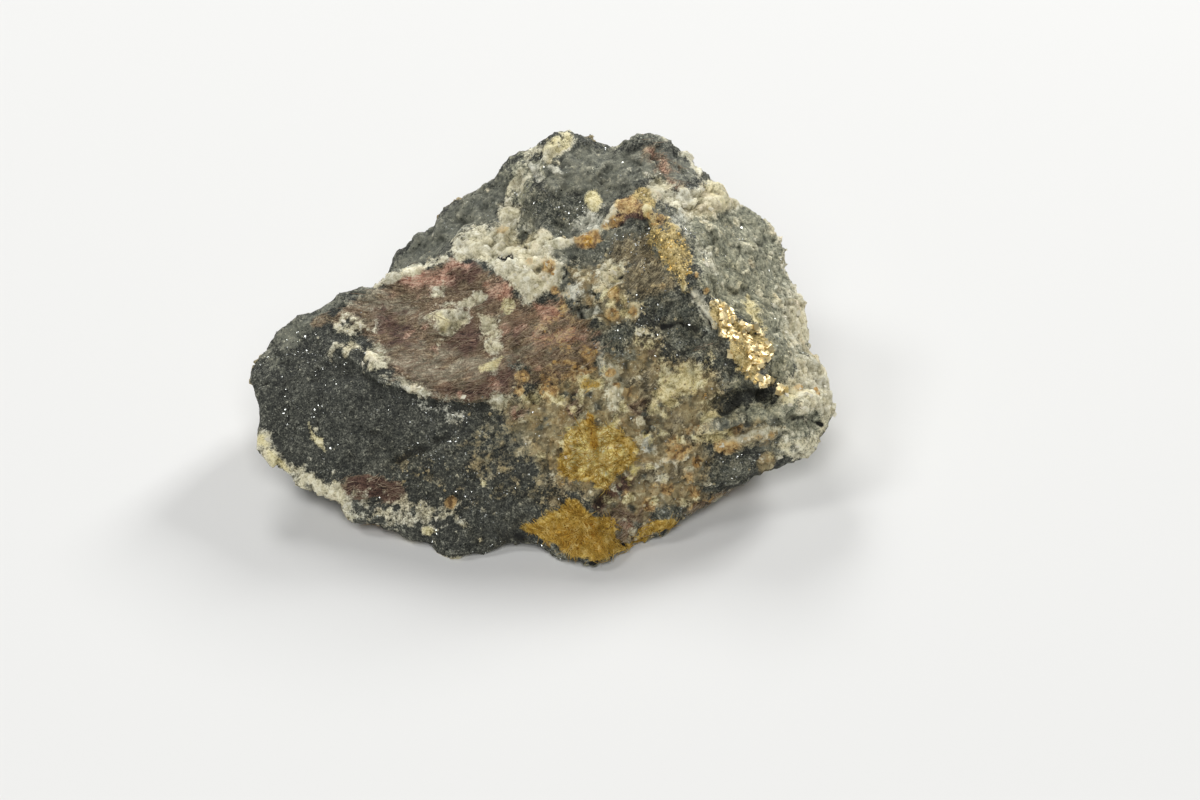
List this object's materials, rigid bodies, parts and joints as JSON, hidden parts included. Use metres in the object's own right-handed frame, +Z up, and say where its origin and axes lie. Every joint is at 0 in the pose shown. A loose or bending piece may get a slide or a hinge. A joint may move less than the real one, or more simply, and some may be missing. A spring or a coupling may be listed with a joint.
{
  "type": "naumannite ore specimen",
  "caption": "Hand-sized broken lump of dark silver selenide ore with white quartz vein, iron stain and gold-coloured flakes, resting on a flat break.",
  "frame": {"origin": "on the table, under the middle of the piece's bounding box", "axes": "+X to the right along the piece as its dark face is seen, +Y to its back, +Z up"},
  "size_m": [0.0462, 0.033, 0.0215],
  "materials": {
    "ore": "rough broken stone with a dark metallic sparkle"
  },
  "bodies": {
    "root": {"naumannite_ore": "ore"}
  },
  "joints": []
}
